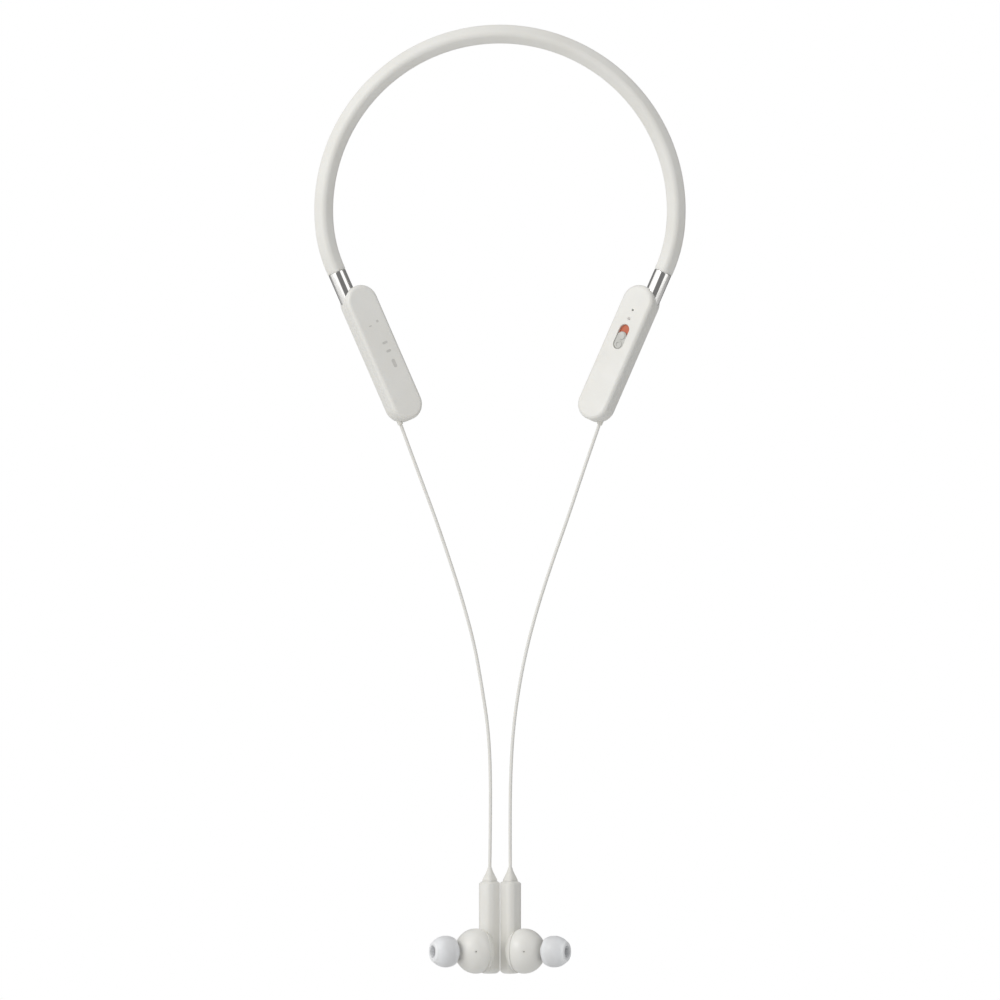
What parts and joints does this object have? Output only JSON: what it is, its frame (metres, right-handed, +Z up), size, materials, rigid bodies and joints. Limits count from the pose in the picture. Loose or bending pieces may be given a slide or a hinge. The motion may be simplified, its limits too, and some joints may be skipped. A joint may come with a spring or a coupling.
{
  "type": "neckband earphones",
  "caption": "Wireless neckband earphones: sprung silicone band, steel ferrules, flat pods with controls, thin cords and magnetic in-ear buds with pull-off tips.",
  "frame": {"origin": "inner side of the neckband's crown, where the back of the neck carries it", "axes": "+Z up along the hanging length; +X to the right of someone facing the skin side of the pods; +Y away from that person, through the band's thin direction"},
  "size_m": [0.1504, 0.0268, 0.3843],
  "materials": {
    "sleeve_silicone": "soft matte silicone",
    "spring_wire": "bare wire",
    "cable_jacket": "matte",
    "ferrule_steel": "polished",
    "inner_plastic": "moulded",
    "shell_plastic": "satin",
    "circuit_board": "solder mask",
    "chip_resin": "moulded",
    "ceramic": "fired",
    "switch_metal": "stamped",
    "port_steel": "stamped",
    "battery_foil": "pouch foil",
    "red_mark": "printed",
    "knob_plastic": "satin",
    "lamp": "lens",
    "light_pipe_acrylic": "clear",
    "key_plastic": "satin",
    "boot_rubber": "matte",
    "cord_jacket": "satin",
    "bud_plastic": "satin gloss",
    "plated_magnet": "nickel plated",
    "diaphragm_film": "film",
    "mesh_steel": "woven mesh",
    "tip_silicone": "translucent silicone"
  },
  "bodies": {
    "neckband": {"antenna": "ceramic", "band_anchor_left": "inner_plastic", "band_anchor_right": "inner_plastic", "band_cable": "cable_jacket", "band_sleeve": "sleeve_silicone", "band_spring": "spring_wire", "battery": "battery_foil", "battery_board": "circuit_board", "bluetooth_chip": "chip_resin", "bud_body_left": "bud_plastic", "bud_body_right": "bud_plastic", "bud_front_left": "bud_plastic", "bud_front_right": "bud_plastic", "clasp_magnet_left": "plated_magnet", "clasp_magnet_right": "plated_magnet", "cord_boot_left": "boot_rubber", "cord_boot_right": "boot_rubber", "cord_grommet_left": "boot_rubber", "cord_grommet_right": "boot_rubber", "cord_left": "cord_jacket", "cord_right": "cord_jacket", "driver_diaphragm_left": "diaphragm_film", "driver_diaphragm_right": "diaphragm_film", "driver_frame_left": "inner_plastic", "driver_frame_right": "inner_plastic", "driver_magnet_left": "plated_magnet", "driver_magnet_right": "plated_magnet", "ferrule_left": "ferrule_steel", "ferrule_right": "ferrule_steel", "key_switches": "switch_metal", "light_pipe": "light_pipe_acrylic", "main_board": "circuit_board", "microphone": "switch_metal", "microphone_gasket": "boot_rubber", "nozzle_mesh_left": "mesh_steel", "nozzle_mesh_right": "mesh_steel", "outer_cover_left": "shell_plastic", "outer_cover_right": "shell_plastic", "power_switch_body": "chip_resin", "power_switch_mark": "red_mark", "skin_cover_left": "shell_plastic", "skin_cover_right": "shell_plastic", "status_light": "lamp", "usb_c_shell": "port_steel", "usb_c_tongue": "chip_resin"},
    "power_switch": {"power_switch_knob": "knob_plastic"},
    "volume_up": {"volume_up_key": "key_plastic"},
    "play": {"play_key": "key_plastic"},
    "volume_down": {"volume_down_key": "key_plastic"},
    "tip_left": {"ear_tip_left": "tip_silicone"},
    "tip_right": {"ear_tip_right": "tip_silicone"}
  },
  "joints": [
    {"name": "power_switch_slide", "type": "slide", "parent": "neckband", "child": "power_switch", "axis": [0.3987, 0, 0.9171], "range_m": [0, 0.003]},
    {"name": "volume_up_press", "type": "slide", "parent": "neckband", "child": "volume_up", "axis": [-0.4163, -0.891, 0.181], "range_m": [0, 0.0004], "stiffness_N_per_m": 2500},
    {"name": "play_press", "type": "slide", "parent": "neckband", "child": "play", "axis": [-0.4163, -0.891, 0.181], "range_m": [0, 0.0004], "stiffness_N_per_m": 2500},
    {"name": "volume_down_press", "type": "slide", "parent": "neckband", "child": "volume_down", "axis": [-0.4163, -0.891, 0.181], "range_m": [0, 0.0004], "stiffness_N_per_m": 2500},
    {"name": "tip_left_pull", "type": "slide", "parent": "neckband", "child": "tip_left", "axis": [-0.9063, -0.4226, 0], "range_m": [0, 0.008]},
    {"name": "tip_right_pull", "type": "slide", "parent": "neckband", "child": "tip_right", "axis": [0.9063, -0.4226, 0], "range_m": [0, 0.008]}
  ]
}
